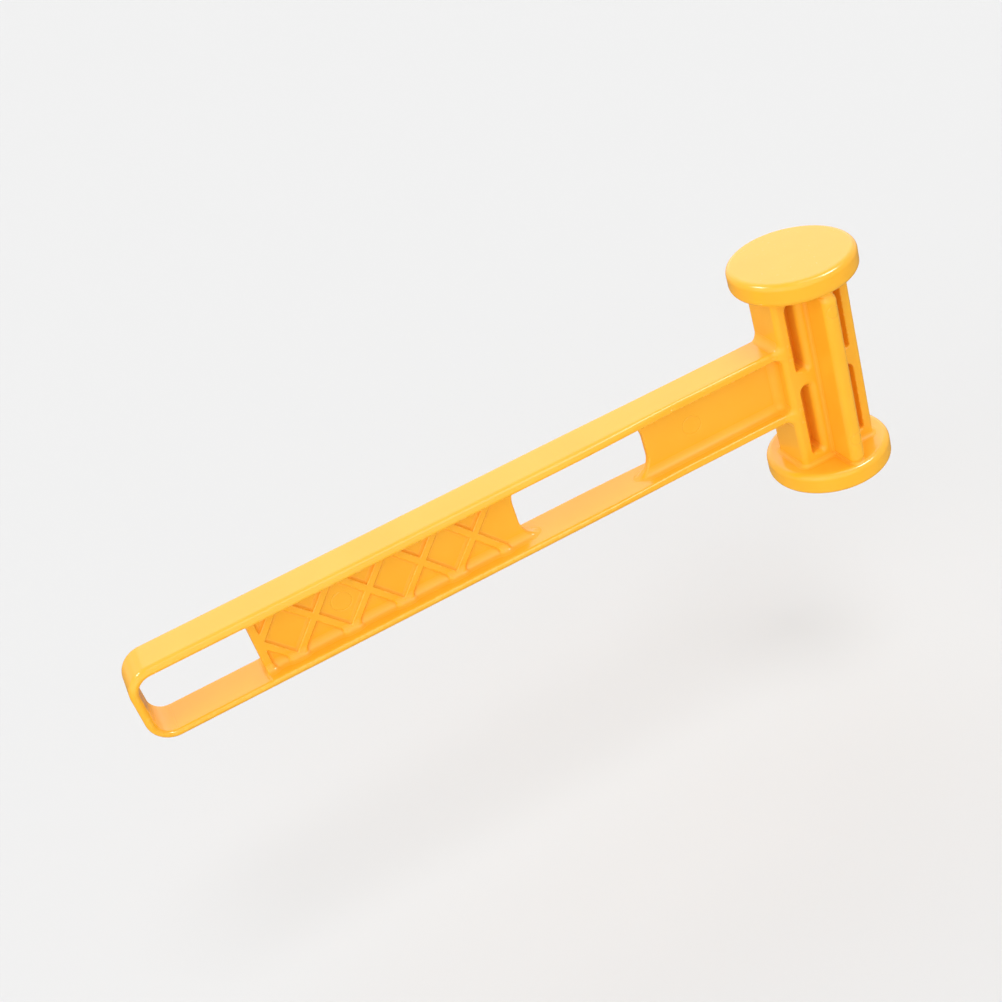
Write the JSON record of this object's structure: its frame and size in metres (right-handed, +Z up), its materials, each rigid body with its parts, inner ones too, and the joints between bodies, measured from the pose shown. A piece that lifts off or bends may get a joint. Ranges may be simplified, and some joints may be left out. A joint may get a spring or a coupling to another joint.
{
  "type": "plastic mallet",
  "caption": "One-piece moulded plastic mallet: two round striking discs on a ribbed upright head and an I-beam handle with a slot, a latticed grip and an open butt loop.",
  "frame": {"origin": "centre of the lower striking face", "axes": "+Z up the head from the lower to the upper striking face, +X towards the front of the head, away from the handle, +Y to the left seen from the butt"},
  "size_m": [0.315, 0.05, 0.096],
  "materials": {
    "yellow_plastic": "glossy as moulded"
  },
  "bodies": {
    "root": {"upper_striking_disc": "yellow_plastic", "lower_striking_disc": "yellow_plastic", "upper_neck": "yellow_plastic", "lower_neck": "yellow_plastic", "handle_side_wall": "yellow_plastic", "front_side_wall": "yellow_plastic", "centre_post": "yellow_plastic", "right_fin": "yellow_plastic", "left_fin": "yellow_plastic", "rear_mid_rib": "yellow_plastic", "front_mid_rib": "yellow_plastic", "lower_rear_pocket_web": "yellow_plastic", "upper_rear_pocket_web": "yellow_plastic", "lower_front_pocket_web": "yellow_plastic", "upper_front_pocket_web": "yellow_plastic", "front_web": "yellow_plastic", "grip_web": "yellow_plastic", "upper_flange_neck": "yellow_plastic", "upper_flange_slot": "yellow_plastic", "upper_flange_grip": "yellow_plastic", "upper_loop_arm": "yellow_plastic", "lower_flange_neck": "yellow_plastic", "lower_flange_slot": "yellow_plastic", "lower_flange_grip": "yellow_plastic", "lower_loop_arm": "yellow_plastic", "butt_bend": "yellow_plastic", "right_lattice_cross_1": "yellow_plastic", "right_lattice_cross_2": "yellow_plastic", "right_lattice_cross_3": "yellow_plastic", "right_lattice_cross_4": "yellow_plastic", "left_lattice_cross_1": "yellow_plastic", "left_lattice_cross_2": "yellow_plastic", "left_lattice_cross_3": "yellow_plastic", "left_lattice_cross_4": "yellow_plastic", "right_lattice_end": "yellow_plastic", "left_lattice_end": "yellow_plastic"}
  },
  "joints": []
}
